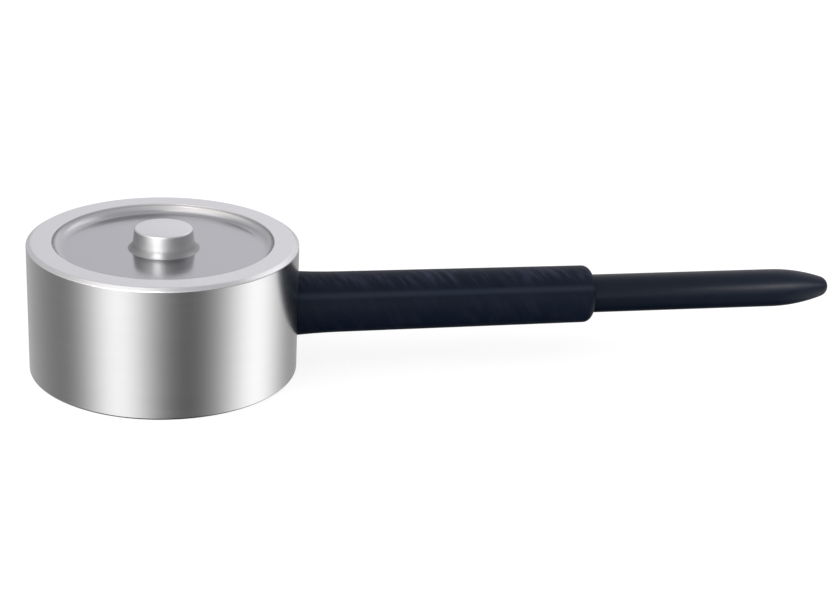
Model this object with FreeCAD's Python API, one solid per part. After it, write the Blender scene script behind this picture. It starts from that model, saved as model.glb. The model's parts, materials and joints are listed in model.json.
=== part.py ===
"""Miniature compression force sensor: a turned steel body with a load button, its strain gauge bridge and its cable.

Millimetres. The origin is the centre of the base ring, +Z points out of the load button, the cable leaves along +X.
"""
import FreeCAD
import Part
import math
import os
from FreeCAD import Vector

# Outside of the sensing body
body_diameter = 20.0
body_height = 10.0
rim_width = 1.85
recess_depth = 0.64
recess_round_radius = 0.83
rim_bevel_width = 0.33
rim_bevel_drop = 0.21
base_edge_break = 0.12

# Load button, one piece with the body
button_diameter = 4.32
button_rise = 1.0
button_crown_radius = 25.0
button_edge_radius = 0.15
button_taper = 6.5  # degrees
button_foot_width = 0.34
button_foot_height = 0.38

# Inside of the sensing body
diaphragm_thickness = 1.2
wall_thickness = 2.8
cavity_corner_radius = 0.3
board_ledge_width = 0.4
gauge_room = 0.8

# Base cover
cover_thickness = 0.8
cover_inset = 0.2
cover_seat_width = 0.9
cover_clearance = 0.03
cover_edge_break = 0.1

# Cable, ferrule and strain relief sleeve
cable_axis_drop = 5.4
cable_diameter = 3.0
cable_free_length = 43.4
cable_taper_length = 4.9
cable_nose_radius = 0.84
ferrule_wall = 0.4
ferrule_reach = 6.0
ferrule_end_break = 0.12
sleeve_length = 23.3
sleeve_wall = 0.37
sleeve_tip_wall = 0.74
sleeve_tip_land = 0.08
sleeve_flare = 0.12
sleeve_flare_length = 3.5
tube_clearance = 0.05
press_clearance = 0.02

# Cable cores and the potting that seals them
core_diameter = 0.7
core_circle_radius = 0.62
core_bend_radius = 0.7
core_straight = 1.0
conductor_diameter = 0.3
strip_length = 0.4
drain_diameter = 0.35
potting_length = 0.9

# Terminal board
board_thickness = 0.6
board_width = 3.35
board_clearance = 0.05
core_pad_inset = 1.7
core_pad_step = 28.0
core_solder_diameter = 1.0
core_solder_height = 0.35

# Strain gauges
gauge_length = 1.8
gauge_width = 2.0
gauge_backing = 0.08
foil_thickness = 0.04
foil_line_width = 0.1
foil_line_pitch = 0.2
foil_line_count = 6
foil_line_length = 0.9
tab_size = 0.36
tab_pitch = 0.9
tab_edge = 0.1
gauge_corner_gap = 0.3

# Gauge leads, of flat ribbon
lead_width = 0.2
lead_thickness = 0.06
lead_drop = 0.3
lead_hole_gap = 0.4
lead_pad_inset = 0.6
lead_solder_size = 0.5
lead_solder_height = 0.1

# Chip resistors of the bridge
resistor_length = 1.6
resistor_width = 0.8
resistor_height = 0.45
resistor_cap = 0.3
resistor_cap_step = 0.03
resistor_inset = 1.6

# Places round the axis, in degrees from the cable exit
gauge_turns = {"outer_gauge_right": 0, "inner_gauge_back": 90, "outer_gauge_left": 180, "inner_gauge_front": 270}
resistor_turns = {"zero_balance_resistor": 125, "zero_drift_resistor": 160, "span_resistor_minus": 200,
                  "span_resistor_plus": 235}

# Heights and radii that follow from the sizes above
body_radius = body_diameter / 2
rim_inner_radius = body_radius - rim_width
recess_round_width = math.sqrt(recess_depth * (2 * recess_round_radius - recess_depth))
recess_floor_radius = rim_inner_radius - recess_round_width
floor_height = body_height - recess_depth
diaphragm_under = floor_height - diaphragm_thickness
board_top = diaphragm_under - gauge_room
board_under = board_top - board_thickness
cavity_radius = body_radius - wall_thickness
gauge_cavity_radius = cavity_radius - board_ledge_width
board_radius = cavity_radius - board_clearance
board_inner_radius = board_radius - board_width
core_pad_radius = cavity_radius - core_pad_inset
resistor_radius = cavity_radius - resistor_inset
cover_seat_height = cover_inset + cover_thickness
cover_seat_radius = cavity_radius + cover_seat_width
cable_axis_height = body_height - cable_axis_drop
cable_radius = cable_diameter / 2
ferrule_bore_radius = cable_radius + tube_clearance
ferrule_radius = ferrule_bore_radius + ferrule_wall
cable_start = cavity_radius + potting_length
cable_tip = body_radius + cable_free_length
ferrule_end = body_radius + ferrule_reach
sleeve_end = body_radius + sleeve_length
foil_under = diaphragm_under - gauge_backing - foil_thickness

UP = Vector(0, 0, 1)
OUT = Vector(1, 0, 0)
AXIS = Vector(0, 0, 0)
CABLE_AXIS = Vector(0, 0, cable_axis_height)


def section(radius, height):
    """A point of a profile that is turned about the body's axis."""
    return Vector(radius, 0, height)


def along(reach, radius):
    """A point of a profile that is turned about the cable's axis."""
    return CABLE_AXIS + Vector(reach, 0, radius)


def arc_to(centre, start, end):
    """The step of an outline that goes from start to end round the centre, by less than half a turn."""
    middle = (start - centre) + (end - centre)
    return centre + middle.normalize() * (start - centre).Length, end


def outline(start, *steps):
    """A face inside a closed line: a point is a straight step, and a pair of points is an arc through the first."""
    edges = []
    here = start
    for step in (*steps, start):
        if isinstance(step, tuple):
            through, there = step
            edges.append(Part.Arc(here, through, there).toShape())
        else:
            there = step
            edges.append(Part.LineSegment(here, there).toShape())
        here = there
    return Part.Face(Part.Wire(edges))


def turned(face, base=AXIS, direction=UP):
    """A solid of revolution."""
    return face.revolve(base, direction, 360)


def drilled(base, direction, radius, length):
    """A round rod, used as a piece or as the tool that drills its hole."""
    return Part.makeCylinder(radius, length, base, direction)


def turned_to(shape, degrees):
    """A copy of a shape, turned about the body's axis."""
    return shape.copy().rotate(AXIS, UP, degrees)


def bent_wire(points, diameter, bend_radius):
    """A round wire along straight runs that are joined by tangent arcs."""
    edges = []
    here = points[0]
    for before, corner, after in zip(points, points[1:], points[2:]):
        to_before = (before - corner).normalize()
        to_after = (after - corner).normalize()
        half_opening = to_before.getAngle(to_after) / 2
        start = corner + to_before * (bend_radius / math.tan(half_opening))
        end = corner + to_after * (bend_radius / math.tan(half_opening))
        centre = corner + (to_before + to_after).normalize() * (bend_radius / math.sin(half_opening))
        edges.append(Part.LineSegment(here, start).toShape())
        edges.append(Part.Arc(start, *arc_to(centre, start, end)).toShape())
        here = end
    edges.append(Part.LineSegment(here, points[-1]).toShape())
    ring = Part.Wire(Part.makeCircle(diameter / 2, points[0], points[1] - points[0]))
    return Part.Wire(edges).makePipeShell([ring], True, False)


def button_outline_steps():
    """The crowned button from the middle of its top, down its tapered side and its flared foot, to the recess floor."""
    taper = math.radians(button_taper)
    crown_centre = section(0, body_height + button_rise - button_crown_radius)
    edge_reach = button_diameter / 2 - button_edge_radius
    edge_climb = math.sqrt((button_crown_radius - button_edge_radius) ** 2 - edge_reach ** 2)
    edge_centre = crown_centre + section(edge_reach, edge_climb)
    crown_top = crown_centre + section(0, button_crown_radius)
    crown_end = crown_centre + (edge_centre - crown_centre).normalize() * button_crown_radius
    side_top = edge_centre + section(math.cos(taper), math.sin(taper)) * button_edge_radius
    side_drop = side_top.z - floor_height - button_foot_height
    foot_top = side_top + section(side_drop * math.tan(taper), -side_drop)
    return crown_top, [
        arc_to(crown_centre, crown_top, crown_end),
        arc_to(edge_centre, crown_end, side_top),
        foot_top,
        foot_top + section(button_foot_width, -button_foot_height),
    ]


def sensing_body():
    """Rim, recess, diaphragm and load button turned from one bar, hollowed from below and drilled for the cable."""
    crown_top, button = button_outline_steps()
    recess_start = section(recess_floor_radius, floor_height)
    recess_end = section(rim_inner_radius, body_height)
    recess_centre = section(recess_floor_radius, floor_height + recess_round_radius)
    corner_start = section(gauge_cavity_radius, diaphragm_under - cavity_corner_radius)
    corner_end = section(gauge_cavity_radius - cavity_corner_radius, diaphragm_under)
    corner_centre = section(gauge_cavity_radius - cavity_corner_radius, diaphragm_under - cavity_corner_radius)
    body = turned(outline(
        crown_top,
        *button,
        recess_start,
        arc_to(recess_centre, recess_start, recess_end),
        section(body_radius - rim_bevel_width, body_height),
        section(body_radius, body_height - rim_bevel_drop),
        section(body_radius, base_edge_break),
        section(body_radius - base_edge_break, 0),
        section(cover_seat_radius, 0),
        section(cover_seat_radius, cover_seat_height),
        section(cavity_radius, cover_seat_height),
        section(cavity_radius, board_top),
        section(gauge_cavity_radius, board_top),
        corner_start,
        arc_to(corner_centre, corner_start, corner_end),
        section(0, diaphragm_under),
    ))
    return body.cut(drilled(CABLE_AXIS, OUT, ferrule_radius + press_clearance, body_diameter))


def base_cover():
    """Disc that closes the cavity, set back so that only the base ring carries the load."""
    radius = cover_seat_radius - cover_clearance
    return turned(outline(
        section(0, cover_inset),
        section(radius - cover_edge_break, cover_inset),
        section(radius, cover_inset + cover_edge_break),
        section(radius, cover_seat_height),
        section(0, cover_seat_height),
    ))


def cable_ferrule():
    """Tube fixed in the side wall, which carries the sleeve and lets the cable in."""
    return turned(outline(
        along(cavity_radius, ferrule_bore_radius),
        along(cavity_radius, ferrule_radius),
        along(ferrule_end - ferrule_end_break, ferrule_radius),
        along(ferrule_end, ferrule_radius - ferrule_end_break),
        along(ferrule_end, ferrule_bore_radius),
    ), CABLE_AXIS, OUT)


def strain_relief_sleeve():
    """Rubber sleeve pushed over the ferrule and the cable, shaped to the round wall that it meets."""
    root_radius = ferrule_radius + sleeve_wall
    tip_radius = cable_radius + sleeve_tip_wall
    tip_round = sleeve_tip_wall - sleeve_tip_land
    seat = body_radius - root_radius
    flare_end = along(body_radius + sleeve_flare_length, root_radius)
    flare_middle = along(body_radius + sleeve_flare_length / 2, root_radius + sleeve_flare / 4)
    flare_start = along(body_radius, root_radius + sleeve_flare)
    round_start = along(sleeve_end - tip_round, tip_radius)
    round_end = along(sleeve_end, tip_radius - tip_round)
    round_centre = along(sleeve_end - tip_round, tip_radius - tip_round)
    sleeve = turned(outline(
        along(seat, ferrule_radius + press_clearance),
        along(seat, root_radius + sleeve_flare),
        flare_start,
        (flare_middle, flare_end),
        round_start,
        arc_to(round_centre, round_start, round_end),
        along(sleeve_end, cable_radius + press_clearance),
        along(ferrule_end + press_clearance, cable_radius + press_clearance),
        along(ferrule_end + press_clearance, ferrule_radius + press_clearance),
    ), CABLE_AXIS, OUT)
    return sleeve.cut(drilled(AXIS, UP, body_radius + press_clearance, body_height))


def cable():
    """Round jacket with a closed end that tapers in one long arc to a small blunt nose."""
    taper_start = along(cable_tip - cable_taper_length, cable_radius)
    nose_centre = along(cable_tip - cable_nose_radius, 0)
    nose_reach = cable_taper_length - cable_nose_radius
    narrowing = cable_radius - cable_nose_radius
    taper_radius = (nose_reach ** 2 + cable_radius ** 2 - cable_nose_radius ** 2) / (2 * narrowing)
    taper_centre = taper_start - Vector(0, 0, taper_radius)
    taper_end = taper_centre + (nose_centre - taper_centre).normalize() * taper_radius
    return turned(outline(
        along(cable_start, 0),
        along(cable_start, cable_radius),
        taper_start,
        arc_to(taper_centre, taper_start, taper_end),
        arc_to(nose_centre, taper_end, along(cable_tip, 0)),
    ), CABLE_AXIS, OUT)


def core_places():
    """Each core's name, its place in the cable's section and the turn of its pad on the board."""
    side_step = core_circle_radius * math.sqrt(0.5)
    return [
        ("core_red", side_step, side_step, core_pad_step),
        ("core_green", side_step, -side_step, 2 * core_pad_step),
        ("core_white", -side_step, side_step, -core_pad_step),
        ("core_black", -side_step, -side_step, -2 * core_pad_step),
    ]


def board_pad(turn):
    """The middle of a core's pad on the lower face of the terminal board."""
    angle = math.radians(turn)
    return Vector(core_pad_radius * math.cos(angle), core_pad_radius * math.sin(angle), board_under)


def cable_core(side, rise, turn):
    """Insulated core: straight out of the resin, then aslant to a place under its pad, with a bare end up to it."""
    start = CABLE_AXIS + Vector(cavity_radius, side, rise)
    turn_point = start - OUT * core_straight
    solder_end = board_pad(turn) - UP * core_solder_height
    insulation_end = solder_end - UP * strip_length
    insulation = bent_wire([start, turn_point, insulation_end], core_diameter, core_bend_radius)
    return insulation.fuse(drilled(insulation_end, UP, conductor_diameter / 2, strip_length))


def shield_drain():
    """Bare wire of the cable's shield, from the middle of the resin up to its own pad."""
    solder_end = board_pad(0) - UP * core_solder_height
    start = CABLE_AXIS + Vector(cavity_radius, 0, 0)
    corner = Vector(solder_end.x, solder_end.y, start.z)
    return bent_wire([start, corner, solder_end], drain_diameter, core_bend_radius)


def entry_potting():
    """Resin plug that fills the ferrule between the end of the cable and the cavity."""
    base = CABLE_AXIS + OUT * cavity_radius
    return drilled(base, OUT, ferrule_bore_radius - press_clearance, potting_length)


def terminal_board():
    """Ring-shaped board that is bonded up against the ledge in the cavity."""
    base = Vector(0, 0, board_under)
    disc = drilled(base, UP, board_radius, board_thickness)
    return disc.cut(drilled(base, UP, board_inner_radius, board_thickness))


def gauge_start(name):
    """The inner edge of a gauge: under the button's edge, or as far out as the diaphragm's flat allows."""
    if name.startswith("inner"):
        return button_diameter / 2
    flat_radius = gauge_cavity_radius - cavity_corner_radius
    return flat_radius - gauge_corner_gap - gauge_length


def block(corner_x, middle_y, top_z, size_x, size_y, size_z):
    """A box that starts at corner_x, is centred on middle_y and hangs down from top_z."""
    return Part.makeBox(size_x, size_y, size_z, Vector(corner_x, middle_y - size_y / 2, top_z - size_z))


def strain_gauge(name):
    """Backing film with its foil: a folded grid of radial lines that ends in two solder tabs."""
    start = gauge_start(name)
    foil_top = diaphragm_under - gauge_backing
    grid_start = start + tab_edge + tab_size
    first_line = -foil_line_pitch * (foil_line_count - 1) / 2
    foil = []
    for index in range(foil_line_count):
        line_y = first_line + index * foil_line_pitch
        foil.append(block(grid_start, line_y, foil_top, foil_line_length, foil_line_width, foil_thickness))
    for index in range(foil_line_count - 1):
        fold_y = first_line + (index + 0.5) * foil_line_pitch
        fold_x = grid_start + (0 if index % 2 else foil_line_length - foil_line_width)
        fold_width = foil_line_pitch + foil_line_width
        foil.append(block(fold_x, fold_y, foil_top, foil_line_width, fold_width, foil_thickness))
    for side in (-1, 1):
        foil.append(block(start + tab_edge, side * tab_pitch / 2, foil_top, tab_size, tab_size, foil_thickness))
        neck_y = side * (tab_pitch / 2 + abs(first_line)) / 2
        neck_width = abs(tab_pitch / 2 - abs(first_line)) + foil_line_width
        foil.append(block(grid_start - foil_line_width, neck_y, foil_top, 2 * foil_line_width, neck_width,
                          foil_thickness))
    backing = block(start, 0, diaphragm_under, gauge_length, gauge_width, gauge_backing)
    gauge = backing.multiFuse(foil).removeSplitter()
    return turned_to(gauge, gauge_turns[name])


def ribbon(points, middle_y):
    """A flat ribbon across the Y direction, along upright and level runs from point to point."""
    half = lead_thickness / 2
    runs = []
    for one, two in zip(points, points[1:]):
        low_x = min(one.x, two.x) - half
        top_z = max(one.z, two.z) + half
        size_x = abs(one.x - two.x) + lead_thickness
        size_z = abs(one.z - two.z) + lead_thickness
        runs.append(block(low_x, middle_y, top_z, size_x, lead_width, size_z))
    return runs[0].multiFuse(runs[1:]).removeSplitter()


def lead_pad_radius():
    """How far from the axis the gauge leads are soldered to the lower face of the board."""
    return board_inner_radius + lead_pad_inset


def gauge_leads(name):
    """The two ribbons of a gauge, from its tabs through the hole of the board to the solder under the board."""
    half = lead_thickness / 2
    tab_reach = gauge_start(name) + tab_edge + tab_size / 2
    hole_reach = board_inner_radius - lead_hole_gap
    run_height = foil_under - lead_drop
    low_height = board_under - lead_solder_height - half
    points = [
        section(tab_reach, foil_under - half),
        section(tab_reach, run_height),
        section(hole_reach, run_height),
        section(hole_reach, low_height),
        section(lead_pad_radius() + lead_solder_size / 2, low_height),
    ]
    ribbons = [turned_to(ribbon(points, side * tab_pitch / 2), gauge_turns[name]) for side in (-1, 1)]
    return Part.makeCompound(ribbons)


def solder_joints():
    """All the soldered ends on the lower face of the board: cones for the cable, flat drops for the gauge leads."""
    neck_radius = max(conductor_diameter, drain_diameter) / 2
    joints = []
    for turn in (0, *(place[-1] for place in core_places())):
        joints.append(Part.makeCone(core_solder_diameter / 2, neck_radius, core_solder_height, board_pad(turn), -UP))
    for turn in gauge_turns.values():
        for side in (-1, 1):
            drop = block(lead_pad_radius() - lead_solder_size / 2, side * tab_pitch / 2, board_under,
                         lead_solder_size, lead_solder_size, lead_solder_height)
            joints.append(turned_to(drop, turn))
    return Part.makeCompound(joints)


def chip_resistor(turn):
    """Chip with two metal end caps, lying along the ring on the lower face of the board."""
    chip_height = resistor_height - resistor_cap_step
    chip = block(resistor_radius - resistor_width / 2 + resistor_cap_step, 0, board_under,
                 resistor_width - 2 * resistor_cap_step, resistor_length, chip_height)
    caps = []
    for side in (-1, 1):
        cap_y = side * (resistor_length - resistor_cap) / 2
        caps.append(block(resistor_radius - resistor_width / 2, cap_y, board_under, resistor_width, resistor_cap,
                          resistor_height))
    return turned_to(chip.multiFuse(caps).removeSplitter(), turn)


def all_pieces():
    """Every piece of the sensor by its node name."""
    pieces = {
        "sensing_body": sensing_body(),
        "base_cover": base_cover(),
        "cable_ferrule": cable_ferrule(),
        "strain_relief_sleeve": strain_relief_sleeve(),
        "cable": cable(),
        "entry_potting": entry_potting(),
        "terminal_board": terminal_board(),
        "shield_drain": shield_drain(),
        "solder_joints": solder_joints(),
    }
    for name, side, rise, turn in core_places():
        pieces[name] = cable_core(side, rise, turn)
    for name in gauge_turns:
        pieces[name] = strain_gauge(name)
        pieces[name + "_leads"] = gauge_leads(name)
    for name, turn in resistor_turns.items():
        pieces[name] = chip_resistor(turn)
    return pieces


os.makedirs("parts", exist_ok=True)
for node, shape in all_pieces().items():
    shape.exportStep(f"parts/{node}.step")
    print(f"{node}: {len(shape.Solids)} solid, {shape.Volume:.3f} mm3, valid {shape.isValid()}")
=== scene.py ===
"""Looks of a miniature compression force sensor.

Metres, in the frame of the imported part: the origin is the centre of the base ring, +Z points out of the
load button and the cable leaves along +X. The body, the sleeve and the cable are modelled here. The pieces
inside the body stay as packed and get their finishes.
"""
import bpy
import json
import math
from collections import namedtuple
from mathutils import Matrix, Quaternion, Vector


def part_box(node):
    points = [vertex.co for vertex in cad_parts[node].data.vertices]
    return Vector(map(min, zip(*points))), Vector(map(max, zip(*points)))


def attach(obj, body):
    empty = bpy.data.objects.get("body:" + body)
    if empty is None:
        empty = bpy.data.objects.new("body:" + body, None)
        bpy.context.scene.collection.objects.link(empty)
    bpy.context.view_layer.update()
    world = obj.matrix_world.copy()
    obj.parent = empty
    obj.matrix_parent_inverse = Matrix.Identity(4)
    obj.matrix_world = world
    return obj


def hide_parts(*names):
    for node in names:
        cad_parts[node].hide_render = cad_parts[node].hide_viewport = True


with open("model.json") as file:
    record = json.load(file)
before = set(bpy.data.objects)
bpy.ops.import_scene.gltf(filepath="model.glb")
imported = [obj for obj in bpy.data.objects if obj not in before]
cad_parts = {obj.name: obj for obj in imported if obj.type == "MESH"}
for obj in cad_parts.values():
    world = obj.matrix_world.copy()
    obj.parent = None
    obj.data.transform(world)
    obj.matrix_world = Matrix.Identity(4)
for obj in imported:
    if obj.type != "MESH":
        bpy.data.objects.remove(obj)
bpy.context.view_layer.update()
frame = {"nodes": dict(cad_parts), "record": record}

MM = 0.001

# Sizes that the frame gives
body_low, body_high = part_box("sensing_body")
cover_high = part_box("base_cover")[1]
board_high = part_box("terminal_board")[1]
ferrule_low, ferrule_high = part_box("cable_ferrule")
sleeve_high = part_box("strain_relief_sleeve")[1]
cable_low, cable_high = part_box("cable")
gauge_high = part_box("inner_gauge_back")[1]
body_radius = body_high.x
button_top = body_high.z
cable_axis_height = (cable_low.z + cable_high.z) / 2
cable_radius = (cable_high.z - cable_low.z) / 2
ferrule_radius = (ferrule_high.z - ferrule_low.z) / 2
cavity_radius = ferrule_low.x
diaphragm_under = gauge_high.z
board_seat_height = board_high.z
cover_seat_height = cover_high.z

# Turned outside of the body
button_rise = 1.0 * MM
button_radius = 2.16 * MM
button_crown_radius = 25.0 * MM
button_edge_radius = 0.15 * MM
button_taper = math.radians(6.5)
button_foot_width = 0.34 * MM
button_foot_height = 0.38 * MM
button_flare_run = 0.3 * MM
rim_width = 1.85 * MM
recess_depth = 0.64 * MM
recess_round_radius = 0.83 * MM
rim_bevel_width = 0.33 * MM
rim_bevel_drop = 0.21 * MM
base_edge_break = 0.12 * MM

# Hollow of the body
cover_clearance = 0.03 * MM
board_ledge_width = 0.4 * MM
cavity_corner_radius = 0.3 * MM

# Sleeve over the cable
press_clearance = 0.02 * MM
sleeve_wall = 0.37 * MM
sleeve_tip_wall = 0.74 * MM
sleeve_tip_land = 0.08 * MM
sleeve_flare = 0.12 * MM
sleeve_flare_length = 3.5 * MM

# Tapered end of the cable
cable_taper_length = 4.9 * MM
cable_nose_radius = 0.84 * MM

# Fineness of the meshes
turn_steps = 256
sleeve_steps = 128
arc_step = math.radians(7.5)
soft_edge_width = 0.035 * MM
edge_band = 0.08 * MM
merge_distance = 0.0005 * MM
smooth_angle = math.radians(30)
hole_guard = 0.22 * MM

# Directions, axes and sizes that follow from the ones above
UP = Vector((0, 0, 1))
OUT = Vector((1, 0, 0))
ACROSS = Vector((0, 1, 0))
BODY_AXIS = Vector((0, 0, 0))
CABLE_AXIS = Vector((0, 0, cable_axis_height))
rim_height = button_top - button_rise
rim_inner_radius = body_radius - rim_width
recess_floor_radius = rim_inner_radius - math.sqrt(recess_depth * (2 * recess_round_radius - recess_depth))
recess_floor_height = rim_height - recess_depth
foot_top_height = recess_floor_height + button_foot_height
cover_seat_radius = cover_high.x + cover_clearance

# Steel: where each shade starts and where it is full
recess_shade_radii = (rim_inner_radius + 0.02 * MM, rim_inner_radius - 0.06 * MM)
recess_shade_heights = (rim_height + 0.1 * MM, rim_height + 0.05 * MM)
wall_shade_heights = (recess_floor_height + 0.05 * MM, recess_floor_height + 0.35 * MM)
# Painted shade: the recess wall is darker along its top, under the rim's inner edge
painted_edge_shade_heights = (recess_floor_height + 0.42 * MM, recess_floor_height + 0.56 * MM)
# Painted shade: the button's foot is darker
painted_foot_shade_heights = (foot_top_height + button_flare_run, foot_top_height - 0.1 * MM)
turning_pitch = 0.09 * MM
turning_waver = 1.6

# Sleeve: the turns, in radians, at which its marks start and are full
sleeve_parting_turn = math.radians(-57)
parting_shade_turns = (0.17, 0.01)
# The smears are real marks, made stronger towards the top as painted light on the top
smear_and_top_light_turns = (0.85, 0.25)

# Inner pieces: sizes that their finishes follow
gauge_film = 0.08 * MM
foil_edge = 0.002 * MM
weave_pitch = 0.5 * MM
chip_length = 1.6 * MM
chip_cap = 0.3 * MM
chip_cap_edge = 0.01 * MM

# Inner pieces: the two shades of each plain finish, its grain and its range of roughness
Plastic = namedtuple("Plastic", "slot dark light grain smooth rough")
plastics = [
    Plastic("resin", (0.010, 0.008, 0.006), (0.022, 0.018, 0.013), 0.12 * MM, 0.12, 0.22),
    Plastic("insulation_red", (0.36, 0.012, 0.010), (0.44, 0.02, 0.015), 0.1 * MM, 0.34, 0.46),
    Plastic("insulation_green", (0.012, 0.15, 0.035), (0.02, 0.2, 0.05), 0.1 * MM, 0.34, 0.46),
    Plastic("insulation_white", (0.66, 0.66, 0.63), (0.74, 0.74, 0.72), 0.1 * MM, 0.34, 0.46),
    Plastic("insulation_black", (0.008, 0.008, 0.008), (0.014, 0.014, 0.015), 0.1 * MM, 0.34, 0.46),
]
BrightMetal = namedtuple("BrightMetal", "slot dark light grain smooth rough")
bright_metals = [
    BrightMetal("tinned_copper", (0.62, 0.60, 0.57), (0.72, 0.70, 0.67), 0.08 * MM, 0.24, 0.38),
    BrightMetal("solder", (0.60, 0.60, 0.61), (0.74, 0.74, 0.75), 0.08 * MM, 0.12, 0.28),
    BrightMetal("lead_copper", (0.55, 0.25, 0.10), (0.68, 0.34, 0.16), 0.08 * MM, 0.22, 0.36),
]

# Camera
camera_lens = 77.447
camera_azimuth = math.radians(-12.984)
camera_elevation = math.radians(22.048)
camera_roll = math.radians(3.045)
camera_distance = 139.032 * MM
camera_target = Vector((19.477 * MM, 0, 3.888 * MM))
camera_near = 10 * MM
camera_far = 20.0

# Soft boxes: the turn from the camera's line, to the right, and the elevations are in degrees
NEUTRAL = (1.0, 1.0, 1.0)
WARM = (1.0, 0.95, 0.88)
COOL = (1.0, 0.99, 1.035)
FROM_BELOW = (-58, -42)
NEVER_FADES = (100, 105)
room_light = 0.005
SoftBox = namedtuple("SoftBox", "turn narrowness rise fade light tint")
soft_boxes = [
    SoftBox(turn=-30, narrowness=7.7, rise=FROM_BELOW, fade=(-8, 4), light=1.41, tint=NEUTRAL),
    SoftBox(turn=92, narrowness=5.8, rise=FROM_BELOW, fade=(-16, -4), light=1.52, tint=NEUTRAL),
    SoftBox(turn=-160, narrowness=1.4, rise=FROM_BELOW, fade=(-14, -2), light=0.54, tint=NEUTRAL),
    SoftBox(turn=-19, narrowness=4.8, rise=(-3, 2), fade=(6, 11), light=10, tint=NEUTRAL),
    SoftBox(turn=180, narrowness=0.8, rise=(-14, -4), fade=(2, 14), light=0.60, tint=NEUTRAL),
    SoftBox(turn=0, narrowness=0, rise=(0, 14), fade=NEVER_FADES, light=0.62, tint=COOL),
    SoftBox(turn=-42, narrowness=2.2, rise=(14, 32), fade=NEVER_FADES, light=0.92, tint=WARM),
    SoftBox(turn=172, narrowness=5.0, rise=(0, 14), fade=(28, 46), light=0.42, tint=COOL),
    SoftBox(turn=140, narrowness=9, rise=(24, 36), fade=(48, 60), light=0.80, tint=NEUTRAL),
    SoftBox(turn=-105, narrowness=1.8, rise=(50, 64), fade=NEVER_FADES, light=0.62, tint=NEUTRAL),
]

# Lamps with a narrow beam, close to the piece that each one lights
Lamp = namedtuple("Lamp", "name place aim width height beam watts")
lamps = [
    Lamp(
        name="cable_lamp",
        place=Vector((63.0, -16.0, 14.5)) * MM,
        aim=Vector((55.0, 0.0, 4.6)) * MM,
        width=22 * MM,
        height=5 * MM,
        beam=math.radians(76),
        watts=0.0008,
    ),
    Lamp(
        name="button_lamp",
        place=Vector((-6.5, -10.4, 19.5)) * MM,
        aim=Vector((-2.3, -3.7, 9.4)) * MM,
        width=14 * MM,
        height=10 * MM,
        beam=math.radians(40),
        watts=0.00017,
    ),
]

# Table under the sensor
table_size = 6.0
table_gap = 0.005 * MM
table_colour = (0.8, 0.8, 0.8)
table_shadow_colour = (0.25, 0.25, 0.25)
table_glow_colour = (0.82, 0.82, 0.82)


# Shaping: profiles, turning, cutting

def at(radius, height):
    """A point of a profile that is turned about the body's axis."""
    return Vector((radius, 0, height))


def along(reach, radius):
    """A point of a profile that is turned about the cable's axis."""
    return Vector((reach, 0, cable_axis_height + radius))


def pick_alone(piece):
    """Selects one piece and nothing else."""
    bpy.ops.object.select_all(action="DESELECT")
    piece.select_set(True)
    bpy.context.view_layer.objects.active = piece


def start_profile(name, point):
    """A small plane merged to one point, where a profile begins."""
    bpy.ops.object.select_all(action="DESELECT")
    bpy.ops.mesh.primitive_plane_add(size=MM, location=point)
    piece = bpy.context.object
    piece.name = name
    piece.data.name = name
    bpy.ops.object.mode_set(mode="EDIT")
    bpy.ops.mesh.select_all(action="SELECT")
    bpy.ops.mesh.merge(type="CENTER")
    return piece


def draw_run(here, point):
    """Extrudes the profile's end straight to the point, with a band at each end for even shading."""
    run = point - here
    stops = [point]
    if run.length > 4 * edge_band:
        band = run.normalized() * edge_band
        stops = [here + band, point - band, point]
    for stop in stops:
        bpy.ops.mesh.extrude_region_move(TRANSFORM_OT_translate={"value": stop - here})
        here = stop


def draw_arc(here, point, centre):
    """Spins the end of the profile about a centre until it reaches the point."""
    start_arm = here - centre
    end_arm = point - centre
    turn = math.copysign(start_arm.angle(end_arm), -start_arm.cross(end_arm).y)
    steps = max(3, math.ceil(abs(turn) / arc_step))
    bpy.ops.mesh.spin(steps=steps, angle=turn, center=centre, axis=ACROSS)


def draw_profile(name, start, steps):
    """Runs and arcs from point to point: a step is a point, or a point and the centre of the arc to it."""
    piece = start_profile(name, start)
    here = start
    for step in steps:
        if isinstance(step, Vector):
            draw_run(here, step)
            here = step
        else:
            point, centre = step
            draw_arc(here, point, centre)
            here = point
    return piece


def turn_profile(centre, axis, steps):
    """Spins the whole profile once round, closes its seam and its poles and turns its faces outwards."""
    bpy.ops.mesh.select_all(action="SELECT")
    bpy.ops.mesh.spin(steps=steps, angle=math.tau, center=centre, axis=axis, use_auto_merge=True)
    bpy.ops.mesh.select_all(action="SELECT")
    bpy.ops.mesh.remove_doubles(threshold=merge_distance)
    bpy.ops.mesh.normals_make_consistent(inside=False)
    bpy.ops.object.mode_set(mode="OBJECT")
    bpy.ops.object.transform_apply(location=True, rotation=True, scale=True)


def apply_modifier(piece, modifier):
    """Makes a modifier's result the piece's own mesh."""
    pick_alone(piece)
    bpy.ops.object.modifier_apply(modifier=modifier.name)


def soften_edges(piece):
    """Takes the sharpness off the machined edges."""
    bevel = piece.modifiers.new("soft_edges", "BEVEL")
    bevel.width = soft_edge_width
    bevel.segments = 2
    bevel.limit_method = "ANGLE"
    bevel.angle_limit = smooth_angle
    bevel.use_clamp_overlap = False
    apply_modifier(piece, bevel)


def cut_round(piece, radius, start, end):
    """Cuts away a straight round bar from one point to another."""
    run = end - start
    bpy.ops.object.select_all(action="DESELECT")
    bpy.ops.mesh.primitive_cylinder_add(
        vertices=turn_steps,
        radius=radius,
        depth=run.length,
        location=(start + end) / 2,
        rotation=run.to_track_quat("Z", "Y").to_euler(),
    )
    bar = bpy.context.object
    cut = piece.modifiers.new("round_cut", "BOOLEAN")
    cut.operation = "DIFFERENCE"
    cut.solver = "EXACT"
    cut.object = bar
    apply_modifier(piece, cut)
    bpy.data.objects.remove(bar)


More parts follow.
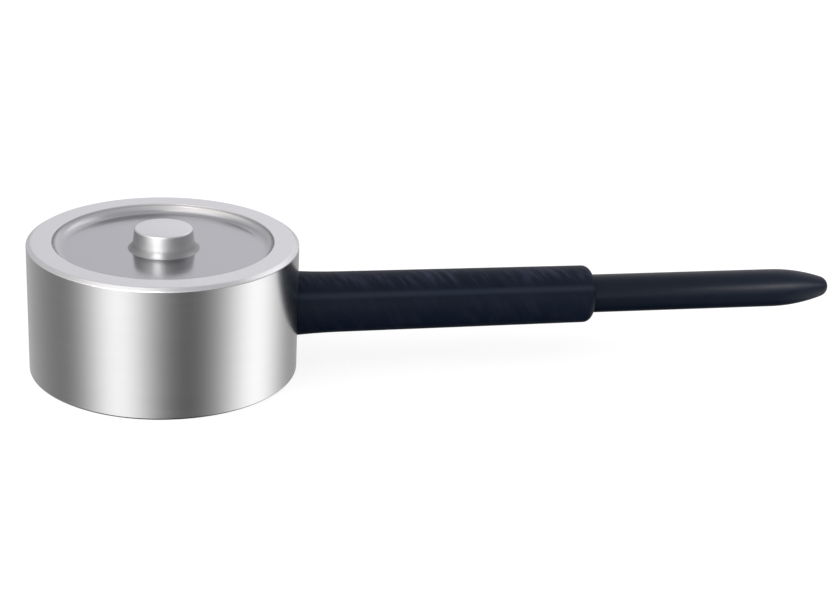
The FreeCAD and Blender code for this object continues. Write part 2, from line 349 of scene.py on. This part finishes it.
def finish_piece(piece, material):
    """Shades a piece, gives it its finish and lets it ride on the sensor."""
    pick_alone(piece)
    bpy.ops.object.shade_smooth_by_angle(angle=smooth_angle)
    piece.data.materials.clear()
    piece.data.materials.append(material)
    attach(piece, "root")


# Pieces

def button_steps():
    """The load button from the middle of its crown down its tapered side, which rounds into a foot."""
    crown_centre = at(0, button_top - button_crown_radius)
    edge_reach = button_radius - button_edge_radius
    edge_climb = math.sqrt((button_crown_radius - button_edge_radius) ** 2 - edge_reach ** 2)
    edge_centre = crown_centre + at(edge_reach, edge_climb)
    crown_end = crown_centre + (edge_centre - crown_centre).normalized() * button_crown_radius
    middle_reach = button_radius / 8
    crown_middle = at(middle_reach, button_top - middle_reach ** 2 / (2 * button_crown_radius))
    side_top = edge_centre + at(math.cos(button_taper), math.sin(button_taper)) * button_edge_radius
    side_drop = side_top.z - foot_top_height
    foot_top = side_top + at(side_drop * math.tan(button_taper), -side_drop)
    foot_end = foot_top + at(button_foot_width, -button_foot_height)
    flare_top = foot_top + at(-math.sin(button_taper), math.cos(button_taper)) * button_flare_run
    flare_out = at(math.cos(button_taper), math.sin(button_taper))
    flare_chord = foot_end - flare_top
    flare_radius = flare_chord.length_squared / (2 * flare_chord.dot(flare_out))
    return [
        (crown_middle, crown_centre),
        (crown_end, crown_centre),
        (side_top, edge_centre),
        flare_top,
        (foot_end, flare_top + flare_out * flare_radius),
    ]


def hollow_steps():
    """The inside of the body from the base ring up to the middle of the diaphragm."""
    gauge_room_radius = cavity_radius - board_ledge_width
    corner_centre = at(gauge_room_radius - cavity_corner_radius, diaphragm_under - cavity_corner_radius)
    return [
        at(cover_seat_radius, body_low.z),
        at(cover_seat_radius, cover_seat_height),
        at(cavity_radius, cover_seat_height),
        at(cavity_radius, board_seat_height),
        at(gauge_room_radius, board_seat_height),
        corner_centre + at(cavity_corner_radius, 0),
        (corner_centre + at(0, cavity_corner_radius), corner_centre),
        at(button_radius, diaphragm_under),
        at(0, diaphragm_under),
    ]


def finish_button_side(body, material):
    """Gives the faces between the button's crown and the recess floor a finish of their own."""
    body.data.materials.append(material)
    for face in body.data.polygons:
        outward = math.hypot(face.center.x, face.center.y)
        above_floor = face.center.z - recess_floor_height > merge_distance
        below_crown = face.center.z < button_top - button_edge_radius
        if above_floor and below_crown and outward < recess_floor_radius:
            face.material_index = len(body.data.materials) - 1


def make_body(material, side_material):
    """Rim, recess, diaphragm and load button turned in one piece, with the hole for the cable."""
    hole_radius = ferrule_radius + press_clearance
    recess_centre = at(recess_floor_radius, recess_floor_height + recess_round_radius)
    body = draw_profile("turned_body", at(0, button_top), [
        *button_steps(),
        at(recess_floor_radius, recess_floor_height),
        (at(rim_inner_radius, rim_height), recess_centre),
        at(body_radius - rim_bevel_width, rim_height),
        at(body_radius, rim_height - rim_bevel_drop),
        at(body_radius, cable_axis_height + hole_radius + hole_guard),
        at(body_radius, cable_axis_height - hole_radius - hole_guard),
        at(body_radius, body_low.z + base_edge_break),
        at(body_radius - base_edge_break, body_low.z),
        *hollow_steps(),
    ])
    turn_profile(BODY_AXIS, UP, turn_steps)
    soften_edges(body)
    cut_round(body, hole_radius, CABLE_AXIS, CABLE_AXIS + OUT * 2 * body_radius)
    finish_piece(body, material)
    finish_button_side(body, side_material)
    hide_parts("sensing_body")


def make_sleeve(material):
    """Rubber sleeve with a slight flare at the wall that it fits and a rounded end on the cable."""
    bore = ferrule_radius + press_clearance
    root_radius = ferrule_radius + sleeve_wall
    tip_radius = cable_radius + sleeve_tip_wall
    tip_round = sleeve_tip_wall - sleeve_tip_land
    seat = body_radius - root_radius
    flare_radius = (sleeve_flare_length ** 2 + sleeve_flare ** 2) / (2 * sleeve_flare)
    flare_end = along(body_radius + sleeve_flare_length, root_radius)
    round_centre = along(sleeve_high.x - tip_round, tip_radius - tip_round)
    step_reach = ferrule_high.x + press_clearance
    sleeve = draw_profile("rubber_sleeve", along(seat, bore), [
        along(seat, root_radius + sleeve_flare),
        along(body_radius, root_radius + sleeve_flare),
        (flare_end, flare_end + UP * flare_radius),
        along(sleeve_high.x - tip_round, tip_radius),
        (along(sleeve_high.x, tip_radius - tip_round), round_centre),
        along(sleeve_high.x, cable_radius + press_clearance),
        along(step_reach, cable_radius + press_clearance),
        along(step_reach, bore),
        along(seat, bore),
    ])
    turn_profile(CABLE_AXIS, OUT, sleeve_steps)
    cut_round(sleeve, body_radius + press_clearance, BODY_AXIS, BODY_AXIS + UP * rim_height)
    finish_piece(sleeve, material)
    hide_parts("strain_relief_sleeve")
    return sleeve


def cable_route():
    """The cable's line: out of the ferrule, through the sleeve and on to the closed tip."""
    reaches = [cable_low.x, body_radius, 18 * MM, 26 * MM, sleeve_high.x, 40 * MM, 46 * MM, 50 * MM]
    ends = [cable_high.x - 2 * MM, cable_high.x - 0.9 * MM, cable_high.x - 0.3 * MM, cable_high.x]
    return [along(reach, 0) for reach in reaches + ends]


def read_route(points):
    """The points of a smooth spline that has the route's points as its control points."""
    curve = bpy.data.curves.new("cable_route", "CURVE")
    curve.dimensions = "3D"
    curve.resolution_u = 16
    spline = curve.splines.new("NURBS")
    spline.points.add(len(points) - 1)
    for knot, point in zip(spline.points, points):
        knot.co = (*point, 1)
    spline.order_u = 3
    spline.use_endpoint_u = True
    holder = bpy.data.objects.new("cable_route", curve)
    mesh = bpy.data.meshes.new_from_object(holder)
    line = [vertex.co.copy() for vertex in mesh.vertices]
    bpy.data.meshes.remove(mesh)
    bpy.data.curves.remove(curve)
    return line


def cable_radius_at(to_tip):
    """The cable's radius at a distance from its tip: a round nose, one long arc, then the full radius."""
    nose_reach = cable_taper_length - cable_nose_radius
    narrowing = cable_radius - cable_nose_radius
    taper_radius = (nose_reach ** 2 + cable_radius ** 2 - cable_nose_radius ** 2) / (2 * narrowing)
    lean = nose_reach / (taper_radius - cable_nose_radius)
    if to_tip >= cable_taper_length:
        return cable_radius
    if to_tip <= cable_nose_radius * (1 - lean):
        return math.sqrt(max(0.0, to_tip * (2 * cable_nose_radius - to_tip)))
    return math.sqrt(taper_radius ** 2 - (cable_taper_length - to_tip) ** 2) - taper_radius + cable_radius


def make_cable(material):
    """Round jacket extruded from ring to ring along its line, narrowed to the closed tip."""
    line = read_route(cable_route())
    lengths = [(two - one).length for one, two in zip(line, line[1:])]
    bpy.ops.object.select_all(action="DESELECT")
    bpy.ops.mesh.primitive_circle_add(
        vertices=sleeve_steps,
        radius=cable_radius,
        fill_type="NGON",
        location=line[0],
        rotation=OUT.to_track_quat("Z", "Y").to_euler(),
    )
    cable = bpy.context.object
    cable.name = "round_cable"
    cable.data.name = "round_cable"
    bpy.ops.object.transform_apply(location=True, rotation=True, scale=True)
    bpy.ops.object.mode_set(mode="EDIT")
    bpy.ops.mesh.select_all(action="SELECT")
    radius = cable_radius
    for index, (one, two) in enumerate(zip(line, line[1:-1])):
        next_radius = cable_radius_at(sum(lengths[index + 1:]))
        bpy.ops.mesh.extrude_region_move(TRANSFORM_OT_translate={"value": two - one})
        if next_radius < radius:
            bpy.ops.transform.resize(value=[next_radius / radius] * 3, center_override=two)
        radius = next_radius
    bpy.ops.mesh.extrude_region_move(TRANSFORM_OT_translate={"value": line[-1] - line[-2]})
    bpy.ops.mesh.merge(type="CENTER")
    bpy.ops.mesh.select_all(action="SELECT")
    bpy.ops.mesh.normals_make_consistent(inside=False)
    bpy.ops.object.mode_set(mode="OBJECT")
    finish_piece(cable, material)
    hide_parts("cable")
    return cable, line


# Node work: small helpers

def node(tree, kind, inputs=None, **settings):
    """A node with its settings, each input set to a value or wired to a socket."""
    made = tree.nodes.new(kind)
    for name, value in settings.items():
        setattr(made, name, value)
    for name, value in (inputs or {}).items():
        if isinstance(value, bpy.types.NodeSocket):
            tree.links.new(value, made.inputs[name])
        else:
            made.inputs[name].default_value = value
    return made


def calc(tree, operation, *values):
    """The result of one sum on sockets or numbers."""
    return node(tree, "ShaderNodeMath", dict(enumerate(values)), operation=operation).outputs[0]


def fade(tree, value, start, end, low=0.0, high=1.0):
    """A soft step from low to high as the value goes from start to end."""
    inputs = {"Value": value, "From Min": start, "From Max": end, "To Min": low, "To Max": high}
    return node(tree, "ShaderNodeMapRange", inputs, interpolation_type="SMOOTHSTEP").outputs["Result"]


def spread(tree, value, start, end, low, high):
    """A straight change from low to high as the value goes from start to end."""
    inputs = {"Value": value, "From Min": start, "From Max": end, "To Min": low, "To Max": high}
    return node(tree, "ShaderNodeMapRange", inputs).outputs["Result"]


def vary(tree, noise, low, high):
    """A straight change from low to high over the range that a noise mostly keeps to."""
    return spread(tree, noise, 0.3, 0.7, low, high)


def blend(tree, share, first, second):
    """A colour between two colours."""
    mix = node(tree, "ShaderNodeMix", data_type="RGBA")
    for socket, value in ((mix.inputs[0], share), (mix.inputs[6], first), (mix.inputs[7], second)):
        if isinstance(value, bpy.types.NodeSocket):
            tree.links.new(value, socket)
        else:
            socket.default_value = (*value, 1)
    return mix.outputs[2]


def split(tree, vector):
    """The three parts of a vector."""
    return node(tree, "ShaderNodeSeparateXYZ", {0: vector}).outputs


def join(tree, *parts):
    """A vector of three parts."""
    return node(tree, "ShaderNodeCombineXYZ", dict(enumerate(parts))).outputs[0]


def object_place(tree):
    """The place on the piece, in metres."""
    return node(tree, "ShaderNodeTexCoord").outputs["Object"]


def radius_from_body_axis(tree, place):
    """The distance of a split place from the body's axis."""
    x_squared = calc(tree, "MULTIPLY", place["X"], place["X"])
    y_squared = calc(tree, "MULTIPLY", place["Y"], place["Y"])
    return calc(tree, "SQRT", calc(tree, "ADD", x_squared, y_squared))


def turn_about_cable_axis(tree, place):
    """The angle of a split place round the cable's axis, zero on its top."""
    return calc(tree, "ARCTAN2", place["Y"], calc(tree, "SUBTRACT", place["Z"], cable_axis_height))


def bump(tree, height, depth):
    """A normal that leans with a height of the given depth in metres."""
    inputs = {"Height": height, "Distance": depth, "Strength": 1.0}
    return node(tree, "ShaderNodeBump", inputs).outputs["Normal"]


def new_group(name, inputs, outputs):
    """A group with number sockets, and its own ends to wire."""
    group = bpy.data.node_groups.new(name, "ShaderNodeTree")
    for label in inputs:
        group.interface.new_socket(label, in_out="INPUT", socket_type="NodeSocketFloat")
    for label in outputs:
        group.interface.new_socket(label, in_out="OUTPUT", socket_type="NodeSocketFloat")
    given = node(group, "NodeGroupInput").outputs
    result = node(group, "NodeGroupOutput").inputs
    return group, given, result


def use_group(tree, group, **inputs):
    """A group placed in a material with its own values."""
    placed = node(tree, "ShaderNodeGroup", node_tree=group)
    for name, value in inputs.items():
        placed.inputs[name].default_value = value
    return placed.outputs


# Effects that several finishes share

def make_turning_lines():
    """Fine rings that a turning tool leaves round the body's axis, on flats and walls alike."""
    group, given, result = new_group("turning_lines", ["Spacing", "Waver"], ["Lines", "Drift"])
    place = split(group, object_place(group))
    radius = radius_from_body_axis(group, place)
    safe_radius = calc(group, "MAXIMUM", radius, merge_distance)
    turn_x = calc(group, "MULTIPLY", calc(group, "DIVIDE", place["X"], safe_radius), given["Waver"])
    turn_y = calc(group, "MULTIPLY", calc(group, "DIVIDE", place["Y"], safe_radius), given["Waver"])
    ring = join(group, turn_x, turn_y, calc(group, "DIVIDE", radius, given["Spacing"]))
    height = calc(group, "DIVIDE", place["Z"], given["Spacing"])
    for label, scale, detail in (("Lines", 1.0, 2.0), ("Drift", 0.12, 1.0)):
        inputs = {"Vector": ring, "W": height, "Scale": scale, "Detail": detail}
        noise = node(group, "ShaderNodeTexNoise", inputs, noise_dimensions="4D")
        group.links.new(noise.outputs["Fac"], result[label])
    return group


def make_fine_grain():
    """A fine grain and soft clouds a dozen times its size."""
    group, given, result = new_group("fine_grain", ["Size"], ["Grain", "Clouds"])
    place = object_place(group)
    density = calc(group, "DIVIDE", 1.0, given["Size"])
    cloud_density = calc(group, "DIVIDE", density, 12.0)
    for label, scale, detail in (("Grain", density, 3.0), ("Clouds", cloud_density, 2.0)):
        noise = node(group, "ShaderNodeTexNoise", {"Vector": place, "Scale": scale, "Detail": detail})
        group.links.new(noise.outputs["Fac"], result[label])
    return group


def make_slanting_smears():
    """Smears that wind slowly round the cable's axis, as wiping leaves them."""
    group, given, result = new_group("slanting_smears", ["Density", "Slant", "Length"], ["Smears"])
    place = split(group, object_place(group))
    turn = turn_about_cable_axis(group, place)
    wound = calc(group, "ADD", turn, calc(group, "MULTIPLY", place["X"], given["Slant"]))
    round_x = calc(group, "MULTIPLY", calc(group, "COSINE", wound), given["Density"])
    round_y = calc(group, "MULTIPLY", calc(group, "SINE", wound), given["Density"])
    winding = join(group, round_x, round_y, calc(group, "DIVIDE", place["X"], given["Length"]))
    inputs = {"Vector": winding, "Scale": 1.0, "Detail": 3.0, "Roughness": 0.55}
    noise = node(group, "ShaderNodeTexNoise", inputs)
    group.links.new(noise.outputs["Fac"], result["Smears"])
    return group


turning_lines = make_turning_lines()
fine_grain = make_fine_grain()
slanting_smears = make_slanting_smears()


# Finishes

def new_finish(name, **constants):
    """A material with one shader, whose constant inputs are set on the shader itself."""
    material = bpy.data.materials.new(name)
    material.use_nodes = True
    tree = material.node_tree
    tree.nodes.clear()
    output = node(tree, "ShaderNodeOutputMaterial")
    shader = node(tree, "ShaderNodeBsdfPrincipled")
    tree.links.new(shader.outputs["BSDF"], output.inputs["Surface"])
    for socket, value in constants.items():
        shader.inputs[socket.replace("_", " ")].default_value = value
    return material, tree, shader


def wire(tree, shader, **sockets):
    """Wires what changes over the surface to the shader."""
    for name, socket in sockets.items():
        tree.links.new(socket, shader.inputs[name.replace("_", " ")])


def make_turned_steel():
    """Stainless steel: a fine turned wall and rim, a greyer recess, and a painted shade along the top of
    the recess wall.
    """
    material, tree, shader = new_finish("turned_steel", Metallic=1.0)
    place = split(tree, object_place(tree))
    height = place["Z"]
    inside_rim = fade(tree, radius_from_body_axis(tree, place), *recess_shade_radii)
    recess = calc(tree, "MULTIPLY", inside_rim, fade(tree, height, *recess_shade_heights))
    on_top = fade(tree, height, rim_height - rim_bevel_drop, rim_height)
    lines = use_group(tree, turning_lines, Spacing=turning_pitch, Waver=turning_waver)
    grain = use_group(tree, fine_grain, Size=0.12 * MM)
    bright = blend(tree, lines["Drift"], (0.622, 0.620, 0.625), (0.642, 0.638, 0.642))
    floor_grey = blend(tree, grain["Grain"], (0.385, 0.385, 0.395), (0.415, 0.415, 0.43))
    # Painted shade: the recess wall is darker along its top, under the rim's inner edge
    painted_edge_shade = fade(tree, height, *painted_edge_shade_heights)
    wall_grey = blend(tree, painted_edge_shade, (0.52, 0.52, 0.525), (0.42, 0.42, 0.425))
    grey = blend(tree, fade(tree, height, *wall_shade_heights), floor_grey, wall_grey)
    colour = blend(tree, recess, bright, grey)
    fine_roughness = vary(tree, lines["Lines"], 0.20, 0.25)
    top_roughness = calc(tree, "ADD", fine_roughness, calc(tree, "MULTIPLY", on_top, 0.06))
    roughness = calc(tree, "SUBTRACT", top_roughness, calc(tree, "MULTIPLY", recess, 0.04))
    normal = bump(tree, lines["Lines"], 0.0004 * MM)
    wire(tree, shader, Base_Color=colour, Roughness=roughness, Normal=normal)
    return material


def make_button_steel():
    """The button's side: turned lines that draw the light out up and down, and a painted shade on its
    foot.
    """
    constants = {"Metallic": 1.0, "Anisotropic": 0.9, "Anisotropic_Rotation": 0.25}
    material, tree, shader = new_finish("button_steel", **constants)
    # Painted shade: the button's foot is darker than its side
    foot = fade(tree, split(tree, object_place(tree))["Z"], *painted_foot_shade_heights)
    lines = use_group(tree, turning_lines, Spacing=turning_pitch, Waver=turning_waver)
    bright = blend(tree, lines["Drift"], (0.47, 0.47, 0.475), (0.49, 0.49, 0.49))
    colour = blend(tree, foot, bright, (0.32, 0.32, 0.325))
    roughness = vary(tree, lines["Lines"], 0.34, 0.40)
    tangent = node(tree, "ShaderNodeTangent", direction_type="RADIAL", axis="Z").outputs[0]
    wire(tree, shader, Base_Color=colour, Roughness=roughness, Tangent=tangent)
    return material


def make_cover_steel():
    """The cover's sheet steel, turned on its face and a little stained."""
    material, tree, shader = new_finish("cover_steel", Metallic=1.0)
    lines = use_group(tree, turning_lines, Spacing=0.2 * MM, Waver=1.2)
    grain = use_group(tree, fine_grain, Size=0.15 * MM)
    colour = blend(tree, grain["Clouds"], (0.50, 0.50, 0.51), (0.60, 0.595, 0.59))
    roughness = vary(tree, lines["Drift"], 0.28, 0.40)
    normal = bump(tree, lines["Lines"], 0.002 * MM)
    wire(tree, shader, Base_Color=colour, Roughness=roughness, Normal=normal)
    return material


def make_plated_brass():
    """Nickel plating with a trace of the brass under it."""
    material, tree, shader = new_finish("plated_brass", Metallic=1.0)
    grain = use_group(tree, fine_grain, Size=0.1 * MM)
    rubbed = fade(tree, grain["Clouds"], 0.55, 0.75)
    colour = blend(tree, rubbed, (0.66, 0.62, 0.55), (0.72, 0.55, 0.28))
    roughness = vary(tree, grain["Grain"], 0.18, 0.32)
    normal = bump(tree, grain["Grain"], 0.001 * MM)
    wire(tree, shader, Base_Color=colour, Roughness=roughness, Normal=normal)
    return material


def make_sleeve_rubber():
    """Nearly black rubber: a matt grain, pale slanting smears that are stronger on its top as painted
    light, and a faint parting line.
    """
    material, tree, shader = new_finish("sleeve_rubber", Specular_IOR_Level=0.10)
    turn = turn_about_cable_axis(tree, split(tree, object_place(tree)))
    smears = use_group(tree, slanting_smears, Density=2.2, Slant=700.0, Length=1.3 * MM)["Smears"]
    grain = use_group(tree, fine_grain, Size=0.14 * MM)
    deep = blend(tree, grain["Clouds"], (0.0012, 0.005, 0.012), (0.0032, 0.0066, 0.0165))
    # Real smears, painted stronger on the top to stand for the light that falls there
    on_top = fade(tree, calc(tree, "ABSOLUTE", turn), *smear_and_top_light_turns, low=0.10, high=0.85)
    smear_and_top_light_share = calc(tree, "MULTIPLY", fade(tree, smears, 0.42, 0.70), on_top)
    smeared_and_lit = blend(tree, smear_and_top_light_share, deep, (0.026, 0.028, 0.054))
    off_parting = calc(tree, "ABSOLUTE", calc(tree, "SUBTRACT", turn, sleeve_parting_turn))
    parting = fade(tree, off_parting, *parting_shade_turns)
    colour = blend(tree, parting, smeared_and_lit, (0.012, 0.018, 0.029))
    roughness = vary(tree, smears, 0.46, 0.58)
    height = calc(tree, "ADD", calc(tree, "MULTIPLY", grain["Grain"], 0.5), smears)
    wire(tree, shader, Base_Color=colour, Roughness=roughness, Normal=bump(tree, height, 0.008 * MM))
    return material


def make_cable_jacket():
    """Smooth satin jacket with faint drawing lines along it."""
    material, tree, shader = new_finish("cable_jacket", Specular_IOR_Level=0.19)
    smears = use_group(tree, slanting_smears, Density=4.0, Slant=-20.0, Length=14 * MM)["Smears"]
    grain = use_group(tree, fine_grain, Size=0.1 * MM)
    colour = blend(tree, smears, (0.0010, 0.0038, 0.010), (0.0026, 0.0056, 0.014))
    roughness = vary(tree, grain["Clouds"], 0.36, 0.42)
    wire(tree, shader, Base_Color=colour, Roughness=roughness, Normal=bump(tree, smears, 0.002 * MM))
    return material


def make_plain_plastic(look):
    """Moulded or cast plastic that drifts between two shades."""
    material, tree, shader = new_finish(look.slot)
    grain = use_group(tree, fine_grain, Size=look.grain)
    colour = blend(tree, grain["Clouds"], look.dark, look.light)
    roughness = vary(tree, grain["Grain"], look.smooth, look.rough)
    normal = bump(tree, grain["Grain"], 0.004 * MM)
    wire(tree, shader, Base_Color=colour, Roughness=roughness, Normal=normal)
    return material


def make_bright_metal(look):
    """Soft bright metal with a lively surface, such as solder or tinned wire."""
    material, tree, shader = new_finish(look.slot, Metallic=1.0)
    grain = use_group(tree, fine_grain, Size=look.grain)
    colour = blend(tree, grain["Clouds"], look.dark, look.light)
    roughness = vary(tree, grain["Grain"], look.smooth, look.rough)
    normal = bump(tree, grain["Clouds"], 0.01 * MM)
    wire(tree, shader, Base_Color=colour, Roughness=roughness, Normal=normal)
    return material


def make_gauge_foil():
    """Amber film that carries the matt grey metal of the measuring grid on its lower face."""
    material, tree, shader = new_finish("gauge_foil")
    height = split(tree, object_place(tree))["Z"]
    grain = use_group(tree, fine_grain, Size=0.06 * MM)
    film_under = gauge_high.z - gauge_film
    foil = fade(tree, height, film_under, film_under - foil_edge)
    film = blend(tree, grain["Clouds"], (0.50, 0.24, 0.03), (0.60, 0.33, 0.06))
    metal = blend(tree, grain["Grain"], (0.42, 0.40, 0.37), (0.52, 0.50, 0.46))
    roughness = vary(tree, grain["Grain"], 0.25, 0.38)
    wire(tree, shader, Base_Color=blend(tree, foil, film, metal), Metallic=foil, Roughness=roughness)
    return material


def make_board_laminate():
    """Green lacquer over the weave of a glass laminate."""
    material, tree, shader = new_finish("board_laminate", Coat_Weight=0.4)
    place = split(tree, object_place(tree))
    threads = math.tau / weave_pitch
    warp = calc(tree, "SINE", calc(tree, "MULTIPLY", place["X"], threads))
    weft = calc(tree, "SINE", calc(tree, "MULTIPLY", place["Y"], threads))
    weave = calc(tree, "MULTIPLY", warp, weft)
    grain = use_group(tree, fine_grain, Size=0.1 * MM)
    lacquer = blend(tree, grain["Clouds"], (0.010, 0.070, 0.028), (0.016, 0.100, 0.040))
    colour = blend(tree, spread(tree, weave, -1.0, 1.0, 0.0, 0.35), lacquer, (0.04, 0.16, 0.07))
    roughness = vary(tree, grain["Grain"], 0.32, 0.42)
    wire(tree, shader, Base_Color=colour, Roughness=roughness, Normal=bump(tree, weave, 0.004 * MM))
    return material


def make_chip_ceramic(name, turn):
    """Black glazed chip with tinned ends, turned to the chip's place round the board."""
    material, tree, shader = new_finish(name)
    inputs = {"Vector": object_place(tree), "Rotation": (0, 0, -turn)}
    spot = node(tree, "ShaderNodeMapping", inputs).outputs[0]
    across = calc(tree, "ABSOLUTE", split(tree, spot)["Y"])
    cap_start = chip_length / 2 - chip_cap
    cap = fade(tree, across, cap_start - chip_cap_edge, cap_start)
    grain = use_group(tree, fine_grain, Size=0.08 * MM)
    glaze = blend(tree, grain["Clouds"], (0.010, 0.010, 0.012), (0.022, 0.022, 0.024))
    tin = blend(tree, grain["Grain"], (0.55, 0.54, 0.52), (0.68, 0.67, 0.65))
    roughness = vary(tree, grain["Grain"], 0.28, 0.42)
    wire(tree, shader, Base_Color=blend(tree, cap, glaze, tin), Metallic=cap, Roughness=roughness)
    return material


# Studio

def make_camera():
    """Camera at the photograph's viewing angle."""
    flat = math.cos(camera_elevation)
    back = Vector((
        math.sin(camera_azimuth) * flat,
        -math.cos(camera_azimuth) * flat,
        math.sin(camera_elevation),
    ))
    lens = bpy.data.cameras.new("camera")
    lens.lens = camera_lens
    lens.clip_start = camera_near
    lens.clip_end = camera_far
    camera = bpy.data.objects.new("camera", lens)
    camera.location = camera_target + back * camera_distance
    camera.rotation_mode = "QUATERNION"
    camera.rotation_quaternion = (-back).to_track_quat("-Z", "Y") @ Quaternion(UP, camera_roll)
    bpy.context.scene.collection.objects.link(camera)
    bpy.context.scene.camera = camera


def make_soft_box_group():
    """The glow of a soft box, brightest in its own direction and between its elevations."""
    inputs = ["Ahead X", "Ahead Y", "Narrowness", "Rise From", "Rise To", "Fade From", "Fade To", "Light"]
    group, given, result = new_group("soft_box", inputs, ["Glow"])
    x, y, z = split(group, node(group, "ShaderNodeTexCoord").outputs["Generated"])
    elevation = calc(group, "ARCSINE", z)
    level = calc(group, "MAXIMUM", calc(group, "COSINE", elevation), 0.001)
    ahead_x = calc(group, "MULTIPLY", x, given["Ahead X"])
    ahead_y = calc(group, "MULTIPLY", y, given["Ahead Y"])
    ahead = calc(group, "DIVIDE", calc(group, "ADD", ahead_x, ahead_y), level)
    fall = calc(group, "MULTIPLY", calc(group, "SUBTRACT", ahead, 1.0), given["Narrowness"])
    rise = fade(group, elevation, given["Rise From"], given["Rise To"])
    sink = fade(group, elevation, given["Fade From"], given["Fade To"], 1.0, 0.0)
    window = calc(group, "MULTIPLY", rise, sink)
    glow = calc(group, "MULTIPLY", calc(group, "EXPONENT", fall), window)
    group.links.new(calc(group, "MULTIPLY", glow, given["Light"]), result["Glow"])
    return group


def make_studio_light():
    """Soft boxes all round the sensor, in a dim room."""
    world = bpy.data.worlds.new("studio")
    world.use_nodes = True
    tree = world.node_tree
    tree.nodes.clear()
    group = make_soft_box_group()
    light = (room_light, room_light, room_light)
    for box in soft_boxes:
        plan_angle = camera_azimuth - math.pi / 2 + math.radians(box.turn)
        glow = use_group(tree, group, **{
            "Ahead X": math.cos(plan_angle),
            "Ahead Y": math.sin(plan_angle),
            "Narrowness": box.narrowness,
            "Rise From": math.radians(box.rise[0]),
            "Rise To": math.radians(box.rise[1]),
            "Fade From": math.radians(box.fade[0]),
            "Fade To": math.radians(box.fade[1]),
            "Light": box.light,
        })["Glow"]
        tinted = node(tree, "ShaderNodeVectorMath", {0: box.tint, "Scale": glow}, operation="SCALE")
        added = {0: light, 1: tinted.outputs[0]}
        light = node(tree, "ShaderNodeVectorMath", added, operation="ADD").outputs[0]
    background = node(tree, "ShaderNodeBackground", {"Color": light, "Strength": 1.0})
    output = node(tree, "ShaderNodeOutputWorld")
    tree.links.new(background.outputs[0], output.inputs["Surface"])
    bpy.context.scene.world = world


def make_lamps():
    """Small soft lamps that draw the light lines on the cable and on the button's foot."""
    for lamp in lamps:
        light = bpy.data.lights.new(lamp.name, "AREA")
        light.shape = "RECTANGLE"
        light.size = lamp.width
        light.size_y = lamp.height
        light.spread = lamp.beam
        light.energy = lamp.watts
        holder = bpy.data.objects.new(lamp.name, light)
        holder.location = lamp.place
        holder.rotation_mode = "QUATERNION"
        holder.rotation_quaternion = (lamp.aim - lamp.place).to_track_quat("-Z", "Y")
        holder.visible_camera = False
        bpy.context.scene.collection.objects.link(holder)


def make_floor():
    """Wide pale table that takes the shadow and shows as white. Mirror rays go past it to the light."""
    bpy.ops.object.select_all(action="DESELECT")
    bpy.ops.mesh.primitive_plane_add(size=table_size, location=(0, 0, body_low.z - table_gap))
    floor = bpy.context.object
    floor.name = "floor"
    floor.visible_glossy = False
    material = bpy.data.materials.new("pale_table")
    material.use_nodes = True
    tree = material.node_tree
    tree.nodes.clear()
    paint = node(tree, "ShaderNodeBsdfDiffuse", {"Color": (*table_colour, 1)})
    shadowed = node(tree, "ShaderNodeBsdfDiffuse", {"Color": (*table_shadow_colour, 1)})
    white = node(tree, "ShaderNodeEmission", {"Color": (*table_glow_colour, 1), "Strength": 1.0})
    lifted = node(tree, "ShaderNodeAddShader", {0: shadowed.outputs[0], 1: white.outputs[0]})
    ray = node(tree, "ShaderNodeLightPath").outputs
    seen = ray["Is Camera Ray"]
    for kind in ("Is Glossy Ray", "Is Transmission Ray"):
        seen = calc(tree, "MAXIMUM", seen, ray[kind])
    mix = node(tree, "ShaderNodeMixShader", {0: seen, 1: paint.outputs[0], 2: lifted.outputs[0]})
    output = node(tree, "ShaderNodeOutputMaterial")
    tree.links.new(mix.outputs[0], output.inputs["Surface"])
    floor.data.materials.append(material)


# Putting it together

def plan_turn(name):
    """The turn of a node's middle round the body's axis."""
    low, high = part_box(name)
    middle = (low + high) / 2
    return math.atan2(middle.y, middle.x)


def make_inner_finishes():
    """The finish of each slot inside the body, apart from the chips."""
    finishes = {
        "cover_steel": make_cover_steel(),
        "plated_brass": make_plated_brass(),
        "board_laminate": make_board_laminate(),
        "gauge_foil": make_gauge_foil(),
    }
    for look in plastics:
        finishes[look.slot] = make_plain_plastic(look)
    for look in bright_metals:
        finishes[look.slot] = make_bright_metal(look)
    return finishes


def dress_inner_pieces():
    """Gives every piece that stays as packed the finish of its slot."""
    finishes = make_inner_finishes()
    replaced = {"sensing_body", "strain_relief_sleeve", "cable"}
    for subpart in frame["record"]["subparts"]:
        name = subpart["node"]
        slot = subpart["material_slot"]
        if name in replaced:
            continue
        if slot == "chip_ceramic":
            finish = make_chip_ceramic("chip_" + name, plan_turn(name))
        else:
            finish = finishes[slot]
        for place in frame["nodes"][name].material_slots:
            place.material = finish


make_body(make_turned_steel(), make_button_steel())
sleeve = make_sleeve(make_sleeve_rubber())
cable, cable_line = make_cable(make_cable_jacket())
dress_inner_pieces()
make_camera()
make_studio_light()
make_lamps()
make_floor()
bpy.context.scene.view_settings.view_transform = "Standard"
